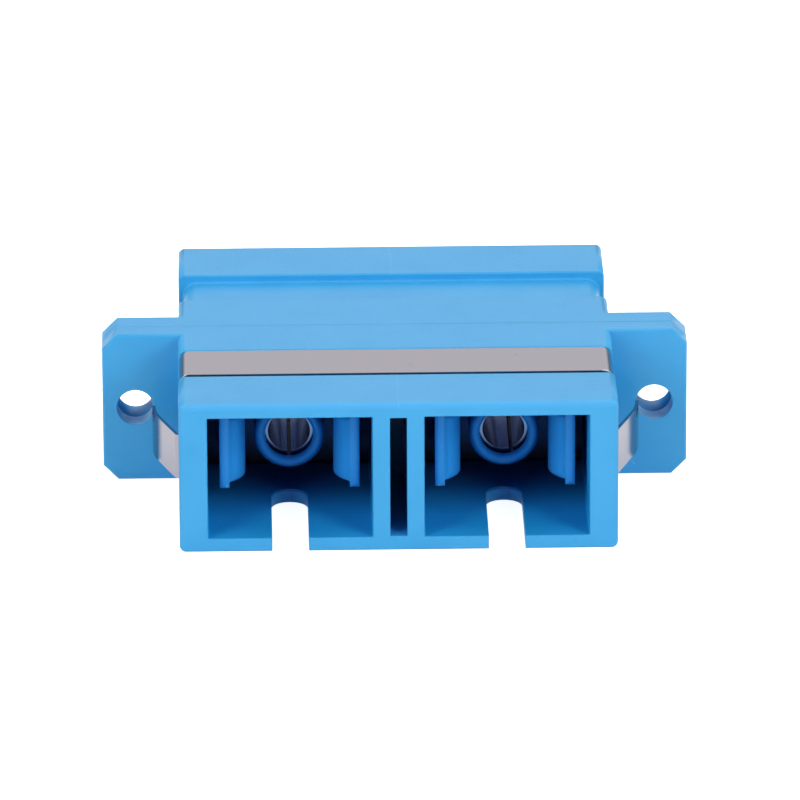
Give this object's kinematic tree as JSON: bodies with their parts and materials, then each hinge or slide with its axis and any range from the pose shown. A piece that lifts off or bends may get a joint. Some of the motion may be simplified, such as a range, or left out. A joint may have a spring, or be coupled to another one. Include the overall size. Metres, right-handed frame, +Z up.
{
  "type": "duplex sc fibre adapter",
  "caption": "Flanged coupler that joins push-pull fibre plugs end to end, with keyed ports at front and rear and a spring clip for panel mounting.",
  "frame": {"origin": "middle of the bottom face, halfway between the front and rear port faces", "axes": "+X along the flange to the right, +Y from the front ports to the rear ports, +Z up"},
  "size_m": [0.0348, 0.027, 0.0092],
  "materials": {
    "housing_plastic": "fine moulded satin",
    "insert_plastic": "fine moulded satin",
    "sleeve_metal": "plated, smooth, dark in the bore",
    "clip_steel": "cold-rolled stainless strip"
  },
  "bodies": {
    "root": {"front_housing": "housing_plastic", "rear_housing": "housing_plastic", "front_left_latch_insert": "insert_plastic", "front_right_latch_insert": "insert_plastic", "rear_left_latch_insert": "insert_plastic", "rear_right_latch_insert": "insert_plastic", "left_split_sleeve": "sleeve_metal", "right_split_sleeve": "sleeve_metal", "mounting_clip": "clip_steel"}
  },
  "joints": []
}
